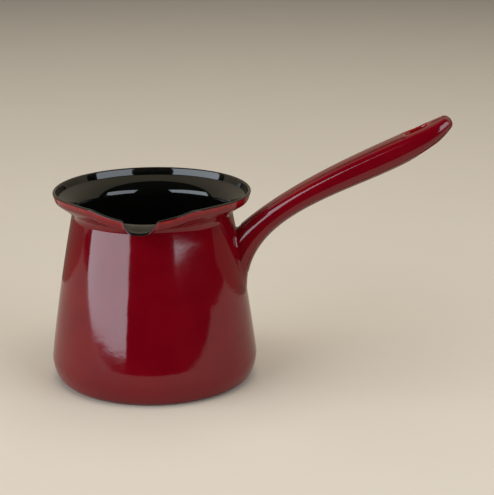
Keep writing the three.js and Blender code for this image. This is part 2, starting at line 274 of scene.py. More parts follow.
def neck_outline(vessel):
    """Turns smoothly from the side's lean to the flare's slope."""
    waist = Vector((vessel.waist_radius, waist_height(vessel)))
    slope = polar(1, vessel.flare_angle)
    flare = collar_outline(vessel)[0] - slope * (vessel.flare_width / slope.x)
    lean = (waist - Vector((vessel.belly_radius, vessel.belly_height))).normalized()
    span = flare - waist
    reach = (span.x * slope.y - span.y * slope.x) / (lean.x * slope.y - lean.y * slope.x)
    corner = waist + lean * reach
    shares = [(i + 1) / NECK_STEPS for i in range(NECK_STEPS)]
    return [waist.lerp(corner, share).lerp(corner.lerp(flare, share), share) for share in shares]


def moved_sideways(outline, distance):
    """The outline moved to the left of its direction, with its ends kept on the axis."""
    moved = []
    for i, point in enumerate(outline):
        before = point - outline[max(i - 1, 0)]
        after = outline[min(i + 1, len(outline) - 1)] - point
        along = (before.normalized() + after.normalized()).normalized()
        stretch = max(along.dot(after.normalized() if after.length else before.normalized()), 0.5)
        place = point + Vector((-along.y, along.x)) * (distance / stretch)
        moved.append(Vector((0, place.y)) if point.x == 0 else place)
    return moved


def wall_outline(vessel):
    """The outside of the wall, from the middle of the base to below the rim's edge."""
    base = [Vector((vessel.foot_radius * i / BASE_STEPS, 0)) for i in range(BASE_STEPS)]
    neck = neck_outline(vessel)
    collar = collar_outline(vessel)
    return (base + corner_outline(vessel) + side_outline(vessel) + neck
            + straight(neck[-1], collar[0]) + collar)


def outside_outline(vessel):
    """From the middle of the base to where the colours meet on the rim's edge."""
    edge = arc(edge_centre(vessel), edge_radius(vessel), -vessel.collar_lean, vessel.colour_split)
    return wall_outline(vessel) + edge[1:]


def inside_outline(vessel):
    """From where the colours meet on the rim's edge to the middle of the bottom."""
    inner = moved_sideways(wall_outline(vessel), wall_thickness(vessel))[:-1]
    inner.reverse()
    end = math.pi - vessel.collar_lean
    return arc(edge_centre(vessel), edge_radius(vessel), vessel.colour_split, end) + inner


# ---- Shaping the turned vessel ----

LIP_CROWDING = 0.5
WAVER_SCALE = 90  # lumps of the noise in a metre


def crowd_towards_lip(point):
    """Gathers the turned facets near the lip, where the shape needs them most."""
    radius = math.hypot(point.x, point.y)
    turn = math.atan2(point.x, -point.y)
    turn -= LIP_CROWDING * math.sin(turn)
    return Vector((radius * math.sin(turn), -radius * math.cos(turn), point.z))


def waver_split(vessel, point):
    """Lets the line where the red coat ends wander a little round the rim's edge."""
    radius = math.hypot(point.x, point.y)
    across = Vector((radius, point.z)) - edge_centre(vessel)
    turn = math.atan2(across.y, across.x)
    low, high = -vessel.collar_lean, math.pi - vessel.collar_lean
    if abs(across.length - edge_radius(vessel)) > 0.01 * MM or not low < turn < high:
        return point
    end = low if turn < vessel.colour_split else high
    share = (turn - end) / (vessel.colour_split - end)
    wander = noise.noise(Vector((point.x, point.y, 0)) * WAVER_SCALE) * vessel.split_waver
    place = edge_centre(vessel) + polar(edge_radius(vessel), turn + share * wander)
    return Vector((point.x * place.x / radius, point.y * place.x / radius, place.y))


def fold_collar(vessel, place, fold):
    """Folds the collar outwards. Its bend opens by the same angle."""
    from_centre = place - bend_centre(vessel)
    around = math.atan2(from_centre.y, from_centre.x)
    bend_start = vessel.flare_angle - math.pi / 2
    share = min(max((around - bend_start) / (-vessel.collar_lean - bend_start), 0), 1)
    return bend_centre(vessel) + Matrix.Rotation(-fold * share, 2) @ from_centre


def press_lip(vessel, lip, point):
    """Presses the pouring lip into the flare, and folds the collar down in the lip's channel."""
    turn = math.atan2(point.x, -point.y)
    channel = 1 - smoothstep(abs(turn), lip.channel_floor, lip.channel_edge)
    spread = abs(turn) / lip.spread
    vee = (1 - spread) * (1 + lip.vee_bow * spread) if spread < 1 else 0
    flank = math.exp(-((abs(turn) - lip.flank_angle) / lip.flank_spread) ** 2)
    place = Vector((math.hypot(point.x, point.y), point.z))
    place = fold_collar(vessel, place, lip.channel_fold * channel)
    slope = polar(1, vessel.flare_angle)
    past = (place - bend_centre(vessel)).dot(slope)
    reach = (edge_centre(vessel) - bend_centre(vessel)).dot(slope)
    flare_length = (vessel.rim_radius - vessel.waist_radius) / slope.x - reach
    weight = min(max(1 + past / flare_length, 0), 1) ** lip.bend
    place.x += weight * (lip.reach * channel - lip.flank_pull * flank * (1 - channel))
    place.y -= weight * lip.vee_drop * vee + lip.channel_slope * channel * max(past, 0)
    return Vector((place.x * math.sin(turn), -place.x * math.cos(turn), place.y))


def turned(outline, vessel, lip):
    """Spins an outline into a vessel's skin and presses its lip."""
    bm = bmesh.new()
    corners = [bm.verts.new((point.x, 0, point.y)) for point in outline]
    edges = [bm.edges.new(pair) for pair in zip(corners, corners[1:])]
    bmesh.ops.spin(bm, geom=corners + edges, cent=(0, 0, 0), axis=(0, 0, 1), angle=TAU,
                   steps=TURNS, use_merge=True)
    join_doubles(bm)
    bmesh.ops.dissolve_degenerate(bm, edges=bm.edges, dist=0.0001 * MM)
    # Mask for the lighter colour on the rim's edge: partly a thinner coat, partly painted light on the
    # rim band
    thin_and_lit = bm.verts.layers.float.new("thin_coat_and_lit_edge")
    for vert in bm.verts:
        spot = Vector((math.hypot(vert.co.x, vert.co.y), vert.co.z))
        away = (spot - edge_centre(vessel)).length
        vert[thin_and_lit] = 1 - smoothstep(away, edge_radius(vessel), 3 * edge_radius(vessel))
        placed = waver_split(vessel, crowd_towards_lip(vert.co))
        vert.co = press_lip(vessel, lip, placed)
    return bm


def join_doubles(bm):
    bmesh.ops.remove_doubles(bm, verts=bm.verts, dist=SAME_POINT)


def face_out(bm, below):
    """Points the faces outwards: below says if the lowest face then looks down."""
    bmesh.ops.recalc_face_normals(bm, faces=bm.faces)
    bm.normal_update()
    lowest = min(bm.faces, key=lambda face: (face.calc_center_median().xy.length, face.normal.z > 0))
    if (lowest.normal.z < 0) != below:
        bmesh.ops.reverse_faces(bm, faces=bm.faces)


# ---- The handle's skin ----

# The ends of the handle's edges as (x, z), from the corners of the weld and of the handle
UPPER_START = Vector((-3.9, -6.7)) * MM
UPPER_END = Vector((-5.0, -0.5)) * MM
LOWER_START = Vector((6.1, -2.5)) * MM
LOWER_END = Vector((-0.5, -5.2)) * MM
# How each edge leaves its start and comes in to its end
UPPER_LEAVES = Vector((28.0, 27.9)) * MM
UPPER_ARRIVES = Vector((33.3, 15.6)) * MM
LOWER_LEAVES = Vector((-2.4, 52.4)) * MM
LOWER_ARRIVES = Vector((20.3, 31.2)) * MM
ROOT_SHARE = 0.4  # of the handle, over which its rings slide to meet the wall
SLOT_FLAT = 1.9  # reach of the flat ring round the slot, in roundings


def bezier(corners, share):
    while len(corners) > 1:
        corners = [a.lerp(b, share) for a, b in zip(corners, corners[1:])]
    return corners[0]


def handle_edges():
    """Upper and lower edge of the handle in the XZ plane, from inside the wall to the tip."""
    tip = Vector((HANDLE_HIGH.x, HANDLE_HIGH.z))
    root_top = Vector((WELD_LOW.x, WELD_HIGH.z))
    root_bottom = Vector((WELD_LOW.x, WELD_LOW.z))
    upper_start, upper_end = root_top + UPPER_START, tip + UPPER_END
    lower_start, lower_end = root_bottom + LOWER_START, tip + LOWER_END
    upper = [upper_start, upper_start + UPPER_LEAVES, upper_end - UPPER_ARRIVES, upper_end]
    lower = [lower_start, lower_start + LOWER_LEAVES, lower_end - LOWER_ARRIVES, lower_end]
    return upper, lower


def half_width(handle, along):
    grip = mix(handle.root_width, handle.grip_width, along)
    near_tip = max((along - handle.tip_start) / (1 - handle.tip_start), 0)
    return (grip - (handle.grip_width - handle.tip_width) * near_tip ** 3) / 2


def skin_point(handle, edges, along, turn, inset=0.0, closing=0.0):
    """A point of the handle's skin. The turn is 0 at the back, a quarter at the upper edge and a
    half at the front, and closing runs from 0 to a quarter turn round the tip."""
    upper = bezier(edges[0], along)
    lower = bezier(edges[1], along)
    up = (upper - lower).normalized()
    power = handle.shoulder_power if math.sin(turn) > 0 else handle.belly_power
    share = abs(math.cos(turn))
    rise = math.copysign(max(1 - share ** power, 0) ** (1 / power), math.sin(turn))
    shrink = math.cos(closing)
    half_depth = ((upper - lower).length / 2 - inset) * shrink
    out = Vector((up.y, -up.x)) * ((handle.tip_rounding - inset) * math.sin(closing))
    place = (upper + lower) / 2 + up * (rise * half_depth) + out
    across = math.cos(turn) * (half_width(handle, along) - inset) * shrink
    return Vector((place.x, across, place.y))


def along_at_wall(vessel, handle, edges, turn, distance, inset=0.0):
    """How far along the handle its skin stands that distance off the vessel's side."""
    low, high = 0.0, 0.5
    for _ in range(SEARCH_STEPS):
        middle = (low + high) / 2
        point = skin_point(handle, edges, middle, turn, inset)
        off = math.hypot(point.x, point.y) - side_radius(vessel, point.z)
        low, high = (middle, high) if off < distance else (low, middle)
    return (low + high) / 2


class Slot:
    """The hanging slot, square to the handle's upper edge."""

    def __init__(self, handle, edges, inset=0.0):
        self.handle, self.edges, self.inset = handle, edges, inset
        upper = edges[0]
        ahead = bezier(upper, handle.slot_place + 0.01) - bezier(upper, handle.slot_place - 0.01)
        self.along = ahead.normalized()
        self.up = Vector((-self.along.y, self.along.x))
        lower = bezier(edges[1], handle.slot_place)
        self.middle = (bezier(upper, handle.slot_place) + lower) / 2

    def outline(self, share, grow):
        """A point of the slot's outline, by its share of the way round."""
        radius = self.handle.slot_width / 2 + grow
        half_straight = (self.handle.slot_length - self.handle.slot_width) / 2
        quarter, rest = divmod(share * 4, 1)
        rest = 1 - rest if quarter % 2 else rest
        walked = rest * (half_straight + radius * math.pi / 2)
        turn = min(walked / radius, math.pi / 2)
        u = half_straight + radius * math.cos(turn) - max(walked - radius * math.pi / 2, 0)
        v = radius * math.sin(turn)
        return (-u if quarter in (1, 2) else u), (-v if quarter in (2, 3) else v)

    def on_skin(self, u, v, side):
        """The skin straight above or below a point of the slot's plane."""
        low, high = self.handle.slot_place - 0.2, 1.0
        for _ in range(SEARCH_STEPS):
            middle = (low + high) / 2
            width = half_width(self.handle, middle) - self.inset
            turn = side * math.acos(min(max(v / width, -1), 1))
            point = skin_point(self.handle, self.edges, middle, turn, self.inset)
            reached = (Vector((point.x, point.z)) - self.middle).dot(self.along)
            low, high = (middle, high) if reached < u else (low, middle)
        return point

    def ring(self, bm, side, grow, depth):
        """A ring of edges round the slot, let down into it by the depth."""
        made = bmesh.ops.create_circle(bm, segments=2 * (SLOT_COLUMNS + SLOT_ROWS), radius=1)["verts"]
        edges = list({edge for vert in made for edge in vert.link_edges})
        for vert in made:
            u, v = self.outline(math.atan2(vert.co.y, vert.co.x) / TAU % 1, grow)
            down = Vector((self.up.x, 0, self.up.y)) * (side * depth)
            vert.co = self.on_skin(u, v, side) - down
        return edges

    def line(self, bm, side, hole):
        """Turns the skin's edge into the slot, from the square hole in the skin to the middle."""
        rounding = self.handle.slot_rounding - self.inset
        rings = [hole, self.ring(bm, side, SLOT_FLAT * rounding + self.inset, 0)]
        for i in range(SLOT_TURN_STEPS + 1):
            turn = i / SLOT_TURN_STEPS * math.pi / 2
            grow = rounding * (1 - math.sin(turn)) + self.inset
            rings.append(self.ring(bm, side, grow, rounding * (1 - math.cos(turn))))
        rings.append(self.ring(bm, side, self.inset, 2 * rounding))
        for outer, inner in zip(rings, rings[1:]):
            bmesh.ops.bridge_loops(bm, edges=outer + inner)
        return rings[-1]


def handle_skin(vessel, handle, wall_distance, inset=0.0, sides=(1, -1)):
    """The handle's skin with its slot, or only its upper (1) or lower (-1) half."""
    edges = handle_edges()
    steps = GRIP_STEPS + TIP_STEPS
    bm = bmesh.new()
    bmesh.ops.create_grid(bm, x_segments=steps, y_segments=GRIP_FACETS, size=0.5)
    marks = bm.edges.layers.int.new("slot_side")
    slot_step = round(handle.slot_place * GRIP_STEPS)
    unwanted, holes = set(), {1: set(), -1: set()}
    for face in bm.faces:
        middle = face.calc_center_median()
        step = (middle.x + 0.5) * steps
        facet = (middle.y + 0.5) * GRIP_FACETS
        side = 1 if facet < GRIP_FACETS / 2 else -1
        from_crown = abs(facet % (GRIP_FACETS / 2) - GRIP_FACETS / 4)
        in_slot = abs(step - slot_step) < SLOT_ROWS / 2 and from_crown < SLOT_COLUMNS / 2
        if side not in sides or in_slot:
            unwanted.add(face)
        if in_slot:
            holes[side].update(face.edges)
    border = {side: [edge for edge in found if len(unwanted.intersection(edge.link_faces)) == 1]
              for side, found in holes.items() if side in sides}
    for side, found in border.items():
        for edge in found:
            edge[marks] = side
    bmesh.ops.delete(bm, geom=list(unwanted), context="FACES")
    starts = {}
    for vert in bm.verts:
        step = (vert.co.x + 0.5) * steps
        turn = round((vert.co.y + 0.5) * GRIP_FACETS) / GRIP_FACETS * TAU
        if turn not in starts:
            starts[turn] = along_at_wall(vessel, handle, edges, turn, wall_distance, inset)
        along = min(step / GRIP_STEPS, 1)
        if along < ROOT_SHARE:
            along = mix(starts[turn], ROOT_SHARE, along / ROOT_SHARE)
        closing = max(step - GRIP_STEPS, 0) / TIP_STEPS * math.pi / 2
        vert.co = skin_point(handle, edges, along, turn, inset, closing)
    join_doubles(bm)
    slot = Slot(handle, edges, inset)
    linings = []
    for side in border:
        hole = [edge for edge in bm.edges if edge[marks] == side]
        linings.append(slot.line(bm, side, hole))
    if len(linings) == 2:
        bmesh.ops.bridge_loops(bm, edges=linings[0] + linings[1])
    bmesh.ops.recalc_face_normals(bm, faces=bm.faces)
    mark_thin_and_lit_edges(bm, slot)
    return bm


def mark_thin_and_lit_edges(bm, slot):
    """Where the lighter red goes, on the turned-in edge of the slot: partly a thinner coat there, partly
    a painted highlight.
    """
    thin_and_lit = bm.verts.layers.float.new("thin_coat_and_lit_edge")
    middle = Vector((slot.middle.x, 0, slot.middle.y))
    along = Vector((slot.along.x, 0, slot.along.y))
    half_straight = (slot.handle.slot_length - slot.handle.slot_width) / 2
    for vert in bm.verts:
        offset = vert.co - middle
        u = offset.dot(along)
        past = max(abs(u) - half_straight, 0)
        from_line = math.hypot(past, offset.y)
        edge = slot.handle.slot_width / 2 + slot.handle.slot_rounding
        vert[thin_and_lit] = 1 - smoothstep(from_line, edge, edge + 1.5 * MM)


# ---- Node groups ----


def fill(tree, node, inputs):
    """Links or sets each input of a node, by its name or number."""
    for name, value in inputs.items():
        if isinstance(value, bpy.types.NodeSocket):
            tree.links.new(value, node.inputs[name])
        else:
            node.inputs[name].default_value = value


def add_node(tree, kind, inputs=None, **settings):
    node = tree.nodes.new(kind)
    for name, value in settings.items():
        setattr(node, name, value)
    fill(tree, node, inputs or {})
    return node


def maths(tree, operation, *values):
    inputs = dict(enumerate(values))
    return add_node(tree, "ShaderNodeMath", inputs, operation=operation).outputs[0]


def ramp(tree, value, low, high, out_low=0.0, out_high=1.0):
    node = add_node(tree, "ShaderNodeMapRange", {
        "Value": value, "From Min": low, "From Max": high, "To Min": out_low, "To Max": out_high},
        interpolation_type="SMOOTHSTEP")
    return node.outputs["Result"]


def noise_at(tree, vector, scale, detail=2.0, roughness=0.5):
    node = add_node(tree, "ShaderNodeTexNoise", {
        "Vector": vector, "Scale": scale, "Detail": detail, "Roughness": roughness})
    return node.outputs["Fac"]


def new_group(name, inputs, outputs):
    """An empty node group. inputs maps names to float defaults, or to None for a vector."""
    group = bpy.data.node_groups.new(name, "ShaderNodeTree")
    for label, default in inputs.items():
        kind = "NodeSocketVector" if default is None else "NodeSocketFloat"
        socket = group.interface.new_socket(label, in_out="INPUT", socket_type=kind)
        if default is not None:
            socket.default_value = default
    for label in outputs:
        group.interface.new_socket(label, in_out="OUTPUT", socket_type="NodeSocketFloat")
    return group, add_node(group, "NodeGroupInput").outputs, add_node(group, "NodeGroupOutput").inputs


def ripple_group():
    """The slow waviness and fine orange peel of fired enamel, as a height."""
    group, given, result = new_group(
        "Enamel ripple", {"Vector": None, "Wave scale": 60.0, "Peel scale": 500.0, "Peel share": 0.12},
        ["Height"])
    waves = noise_at(group, given["Vector"], given["Wave scale"], 1.5)
    peel = noise_at(group, given["Vector"], given["Peel scale"], 1.0)
    height = maths(group, "MULTIPLY_ADD", peel, given["Peel share"], waves)
    group.links.new(height, result["Height"])
    return group


def speck_group():
    """Sparse specks and pinholes of the firing, as a mask."""
    group, given, result = new_group(
        "Firing specks", {"Vector": None, "Scale": 140.0, "Size": 0.05, "Share": 0.12}, ["Mask"])
    cells = add_node(group, "ShaderNodeTexVoronoi", {"Vector": given["Vector"], "Scale": given["Scale"]})
    chance = add_node(group, "ShaderNodeSeparateColor", {"Color": cells.outputs["Color"]})
    wanted = maths(group, "LESS_THAN", chance.outputs["Red"], given["Share"])
    size = maths(group, "MULTIPLY", given["Size"], chance.outputs["Green"])
    near = maths(group, "LESS_THAN", cells.outputs["Distance"], size)
    group.links.new(maths(group, "MULTIPLY", wanted, near), result["Mask"])
    return group


def handling_group():
    """Faint wipe marks and settled dust, as masks."""
    group, given, result = new_group(
        "Handling", {"Vector": None, "Scale": 30.0, "Normal Z": 0.0}, ["Smudge", "Dust"])
    broad = noise_at(group, given["Vector"], given["Scale"], 4.0, 0.6)
    group.links.new(ramp(group, broad, 0.48, 0.78), result["Smudge"])
    fine_scale = maths(group, "MULTIPLY", given["Scale"], 40.0)
    fine = noise_at(group, given["Vector"], fine_scale, 2.0, 0.7)
    upward = ramp(group, given["Normal Z"], 0.3, 1.0)
    dust = maths(group, "MULTIPLY", ramp(group, fine, 0.55, 0.75), upward)
    group.links.new(dust, result["Dust"])
    return group


def grain_group():
    """Fine drawing lines round the vessel's axis on bare sheet."""
    group, given, result = new_group("Drawn grain", {"Vector": None, "Scale": 900.0}, ["Grain"])
    stretched = add_node(group, "ShaderNodeMapping", {
        "Vector": given["Vector"], "Scale": (0.02, 0.02, 1.0)})
    grain = noise_at(group, stretched.outputs[0], given["Scale"], 3.0, 0.65)
    group.links.new(grain, result["Grain"])
    return group


# ---- Materials ----


def place_group(tree, name, build, inputs):
    """Places the group of that name, which is built only once."""
    group = bpy.data.node_groups.get(name) or build()
    return add_node(tree, "ShaderNodeGroup", inputs, node_tree=group).outputs


def blend_colour(tree, factor_value, under, over):
    inputs = {0: factor_value, 6: under, 7: over}
    return add_node(tree, "ShaderNodeMix", inputs, data_type="RGBA").outputs[2]


def opaque(colour_value):
    return (*colour_value, 1.0)


def emptied_tree(owner):
    owner.use_nodes = True
    owner.node_tree.nodes.clear()
    return owner.node_tree


def empty_material(name):
    material = bpy.data.materials.new(name)
    tree = emptied_tree(material)
    shader = add_node(tree, "ShaderNodeBsdfPrincipled")
    add_node(tree, "ShaderNodeOutputMaterial", {"Surface": shader.outputs[0]})
    return material, tree, shader


ENAMEL_IOR = 1.52
RED_WAVES = 0.10 * MM  # depth of the ripple
BLACK_WAVES = 0.06 * MM
WELD_WAVES = 0.25 * MM
RED_SPECKS = (0.03, 0.001, 0.002)
BLACK_SPECKS = (0.02, 0.02, 0.018)
HEAT_TINT = (0.82, 0.74, 0.66)
GRAIN_DEPTH = 0.01 * MM


def enamel_material(name, body, thin_and_lit, gloss, wave_depth, speck_colour, seed):
    """Glossy fired enamel, with its own ripple, specks and faint handling marks, and a lighter colour on
    its edges that is partly a thinner coat and partly painted light.
    """
    if name in bpy.data.materials:
        return bpy.data.materials[name]
    material, tree, shader = empty_material(name)
    place = add_node(tree, "ShaderNodeTexCoord").outputs["Object"]
    moved = add_node(tree, "ShaderNodeMapping", {"Vector": place, "Location": seed}).outputs[0]
    facing = add_node(tree, "ShaderNodeNewGeometry").outputs["Normal"]
    up = add_node(tree, "ShaderNodeSeparateXYZ", {"Vector": facing}).outputs["Z"]
    ripple = place_group(tree, "Enamel ripple", ripple_group, {"Vector": moved})
    specks = place_group(tree, "Firing specks", speck_group, {"Vector": moved})
    marks = place_group(tree, "Handling", handling_group, {
        "Vector": moved, "Normal Z": up})

    mottle = ramp(tree, noise_at(tree, moved, 45.0, 3.0), 0.35, 0.65, 0.0, 0.16)
    base = blend_colour(tree, mottle, opaque(body), opaque(thin_and_lit))
    # Lighter colour on edges: partly a thinner coat, partly painted light on the rim band and round the
    # slot
    edge = add_node(tree, "ShaderNodeAttribute", attribute_name="thin_coat_and_lit_edge").outputs["Fac"]
    ragged_thin_and_lit = maths(tree, "MULTIPLY", edge, ramp(tree, noise_at(tree, moved, 420.0, 3.0), 0.35, 0.6, 0.4))
    base = blend_colour(tree, ragged_thin_and_lit, base, opaque(thin_and_lit))
    base = blend_colour(tree, specks["Mask"], base, opaque(speck_colour))

    smudged = maths(tree, "MULTIPLY_ADD", marks["Smudge"], 0.05, gloss)
    dusty = maths(tree, "MULTIPLY_ADD", marks["Dust"], 0.05, smudged)
    pits = maths(tree, "MULTIPLY_ADD", specks["Mask"], -0.2, ripple["Height"])
    bump = add_node(tree, "ShaderNodeBump", {"Height": pits, "Strength": 1.0, "Distance": wave_depth})
    fill(tree, shader, {"Base Color": base, "Roughness": dusty, "IOR": ENAMEL_IOR,
                        "Normal": bump.outputs[0]})
    return material


def red_enamel(finish):
    return enamel_material("Red enamel", finish.red, finish.red_thin_and_lit, finish.red_gloss,
                           RED_WAVES, RED_SPECKS, (0.3, 0.1, 0.7))


def black_enamel(finish):
    return enamel_material("Black enamel", finish.black, finish.black_thin, finish.black_gloss,
                           BLACK_WAVES, BLACK_SPECKS, (0.9, 0.4, 0.2))


def weld_enamel(finish):
    return enamel_material("Red enamel over the weld", finish.red, finish.red_thin_and_lit, finish.red_gloss,
                           WELD_WAVES, RED_SPECKS, (0.5, 0.8, 0.1))


def drawn_steel(finish):
    """Bare sheet under the coats, with fine drawing lines and a slight heat tint."""
    if "Drawn steel" in bpy.data.materials:
        return bpy.data.materials["Drawn steel"]
    material, tree, shader = empty_material("Drawn steel")
    place = add_node(tree, "ShaderNodeTexCoord").outputs["Object"]
    grain = place_group(tree, "Drawn grain", grain_group, {"Vector": place})["Grain"]
    tint = ramp(tree, noise_at(tree, place, 30.0, 3.0), 0.4, 0.7, 0.0, 0.35)
    heated = tuple(channel * shade for channel, shade in zip(finish.steel, HEAT_TINT))
    base = blend_colour(tree, tint, opaque(finish.steel), opaque(heated))
    rough = ramp(tree, grain, 0.3, 0.7, 0.28, 0.46)
    bump = add_node(tree, "ShaderNodeBump", {"Height": grain, "Strength": 1.0, "Distance": GRAIN_DEPTH})
    fill(tree, shader, {"Base Color": base, "Roughness": rough, "Metallic": 1.0,
                        "Normal": bump.outputs[0]})
    return material


# ---- Pieces ----


def link_mesh(name, bm, material):
    mesh = bpy.data.meshes.new(name)
    bm.to_mesh(mesh)
    bm.free()
    if not mesh.polygons:
        raise RuntimeError(f"{name} has no faces")
    mesh.materials.append(material)
    made = bpy.data.objects.new(name, mesh)
    bpy.context.scene.collection.objects.link(made)
    return made


def add_piece(name, bm, material, slot, *nodes):
    """Makes the mesh a smooth piece that rides on the body and stands for its CAD nodes."""
    piece = link_mesh(name, bm, material)
    piece.data.shade_smooth()
    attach(piece, "root")
    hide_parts(*nodes)
    return piece


def thicken(piece, thickness, even=False):
    wall = piece.modifiers.new("Thickness", "SOLIDIFY")
    wall.thickness = thickness
    wall.offset = -1
    wall.use_even_offset = even


def smoothen(piece):
    finer = piece.modifiers.new("Finer", "SUBSURF")
    finer.levels = finer.render_levels = 1


class VesselSteel(bpy.types.Operator):
    """Build the drawn steel vessel that the two coats cover"""

    bl_idname = "wax_pot.vessel_steel"
    bl_label = "Vessel steel"

    def execute(self, context):
        pot = context.scene.wax_pot
        vessel = pot.vessel
        skin = outside_outline(vessel) + inside_outline(vessel)[1:]
        bm = turned(moved_sideways(skin, vessel.coat + vessel.coat_gap), vessel, pot.lip)
        face_out(bm, below=True)
        add_piece("vessel_sheet", bm, drawn_steel(pot.finish), "bare_steel", "vessel_body")
        return {"FINISHED"}


class OuterCoat(bpy.types.Operator):
    """Build the red enamel on the outside of the vessel"""

    bl_idname = "wax_pot.outer_coat"
    bl_label = "Outer coat"

    def execute(self, context):
        pot = context.scene.wax_pot
        bm = turned(outside_outline(pot.vessel), pot.vessel, pot.lip)
        face_out(bm, below=True)
        piece = add_piece("outer_coat", bm, red_enamel(pot.finish), "red_enamel", "vessel_outer_enamel")
        thicken(piece, pot.vessel.coat, even=True)
        return {"FINISHED"}


class InnerCoat(bpy.types.Operator):
    """Build the black enamel on the inside of the vessel and the top of its rim"""

    bl_idname = "wax_pot.inner_coat"
    bl_label = "Inner coat"

    def execute(self, context):
        pot = context.scene.wax_pot
        bm = turned(inside_outline(pot.vessel), pot.vessel, pot.lip)
        face_out(bm, below=False)
        piece = add_piece(
            "inner_coat", bm, black_enamel(pot.finish), "black_enamel", "vessel_inner_enamel")
        thicken(piece, pot.vessel.coat, even=True)
        return {"FINISHED"}


class HandleShells(bpy.types.Operator):
    """Build the upper and lower pressed shells of the hollow handle"""

    bl_idname = "wax_pot.handle_shells"
    bl_label = "Handle shells"

    def execute(self, context):
        pot = context.scene.wax_pot
        inset = pot.vessel.coat + pot.vessel.coat_gap
        for side, name in ((1, "handle_upper"), (-1, "handle_lower")):
            bm = handle_skin(pot.vessel, pot.handle, 0.0, inset, (side,))
            piece = add_piece(name + "_sheet", bm, drawn_steel(pot.finish), "bare_steel", name + "_shell")
            thicken(piece, pot.vessel.steel)
            smoothen(piece)
        return {"FINISHED"}


class HandleSeam(bpy.types.Operator):
    """Build the weld that joins the two handle shells round their edge"""

    bl_idname = "wax_pot.handle_seam"
    bl_label = "Handle seam"

    def execute(self, context):
        pot = context.scene.wax_pot
        vessel, handle = pot.vessel, pot.handle
        edges = handle_edges()
        inset = vessel.coat + vessel.coat_gap + vessel.steel / 2
        clear = handle.weld_leg
        steps = GRIP_STEPS + TIP_STEPS
        bm = bmesh.new()
        bmesh.ops.create_grid(bm, x_segments=2 * steps, y_segments=SEAM_FACETS, size=0.5)
        for vert in bm.verts:
            step = (0.5 - abs(vert.co.x)) * 2 * steps
            turn = 0.0 if vert.co.x > 0 else math.pi
            start = along_at_wall(vessel, handle, edges, turn, clear, inset)
            along = mix(start, 1, min(step / GRIP_STEPS, 1))
            closing = max(step - GRIP_STEPS, 0) / TIP_STEPS * math.pi / 2
            path = skin_point(handle, edges, along, turn, inset, closing)
            section = polar(1, (vert.co.y + 0.5) * TAU)
            rise = bezier(edges[0], along) - bezier(edges[1], along)
            up = Vector((rise.x, 0, rise.y)).normalized()
            out = Vector((up.z * math.sin(closing), math.cos(turn) * math.cos(closing),
                          -up.x * math.sin(closing)))
            vert.co = (path + up * (section.y * handle.seam_width / 2)
                       + out * (section.x * vessel.steel / 2))
        join_doubles(bm)
        ends = [edge for edge in bm.edges if edge.is_boundary]
        bmesh.ops.holes_fill(bm, edges=ends, sides=0)
        bmesh.ops.recalc_face_normals(bm, faces=bm.faces)
        add_piece("handle_seam", bm, drawn_steel(pot.finish), "bare_steel", "handle_seam_weld")
        return {"FINISHED"}


class HandleCoat(bpy.types.Operator):
    """Build the red enamel on the handle, turned in through its hanging slot"""

    bl_idname = "wax_pot.handle_coat"
    bl_label = "Handle coat"

    def execute(self, context):
        pot = context.scene.wax_pot
        bm = handle_skin(pot.vessel, pot.handle, pot.handle.weld_leg / 3)
        piece = add_piece("handle_coat", bm, red_enamel(pot.finish), "red_enamel", "handle_enamel")
        thicken(piece, pot.vessel.coat)
        smoothen(piece)
        return {"FINISHED"}


class RootWeld(bpy.types.Operator):
    """Build the enamelled weld that runs round the handle's root"""

    bl_idname = "wax_pot.root_weld"
    bl_label = "Root weld"

    def execute(self, context):
        pot = context.scene.wax_pot
        vessel, handle = pot.vessel, pot.handle
        edges = handle_edges()
        bm = bmesh.new()
        bmesh.ops.create_grid(bm, x_segments=WELD_TURNS, y_segments=WELD_STEPS, size=0.5)
        for vert in bm.verts:
            turn = round((vert.co.x + 0.5) * WELD_TURNS) / WELD_TURNS * TAU
            vert.co = weld_point(vessel, handle, edges, turn, vert.co.y + 0.5)
        join_doubles(bm)
        bmesh.ops.recalc_face_normals(bm, faces=bm.faces)
        top = max(bm.faces, key=lambda face: face.calc_center_median().z)
        if top.normal.z < 0:
            bmesh.ops.reverse_faces(bm, faces=bm.faces)
        piece = add_piece("root_weld", bm, weld_enamel(pot.finish), "red_enamel", "handle_root_weld")
        thicken(piece, handle.weld_leg / 3)
        smoothen(piece)
        return {"FINISHED"}


WELD_TUCK = 0.12 * MM  # how far the fillet's ends lie under the skins they meet
NEARBY_TURN = 0.05
LUMP_SCALE = 420  # lumps of the noise in a metre


def weld_point(vessel, handle, edges, turn, share):
    """A point of the weld's fillet, from the handle (0) down to the vessel's side (1)."""
    along = along_at_wall(vessel, handle, edges, turn, 0)
    joint = skin_point(handle, edges, along, turn)
    upper_end = along_at_wall(vessel, handle, edges, turn, handle.weld_leg)
    on_handle = skin_point(handle, edges, upper_end, turn, WELD_TUCK)
    ahead = skin_point(handle, edges, along, turn + NEARBY_TURN)
    behind = skin_point(handle, edges, along, turn - NEARBY_TURN)
    off_wall = Vector((joint.x, joint.y, 0)).normalized()
    away = off_wall.cross(ahead - behind).normalized()
    centre = (bezier(edges[0], along) + bezier(edges[1], along)) / 2
    if away.dot(joint - Vector((centre.x, 0, centre.y))) < 0:
        away.negate()
    on_side = joint + away * handle.weld_leg
    radius = side_radius(vessel, on_side.z) - WELD_TUCK
    around = Vector((on_side.x, on_side.y)).normalized() * radius
    on_side = Vector((around.x, around.y, on_side.z))
    point = bezier([on_handle, joint, on_side], share)
    lump = noise.noise(point * LUMP_SCALE) * handle.weld_lumps * math.sin(math.pi * share)
    return point + (off_wall + away).normalized() * lump


# ---- Stage ----

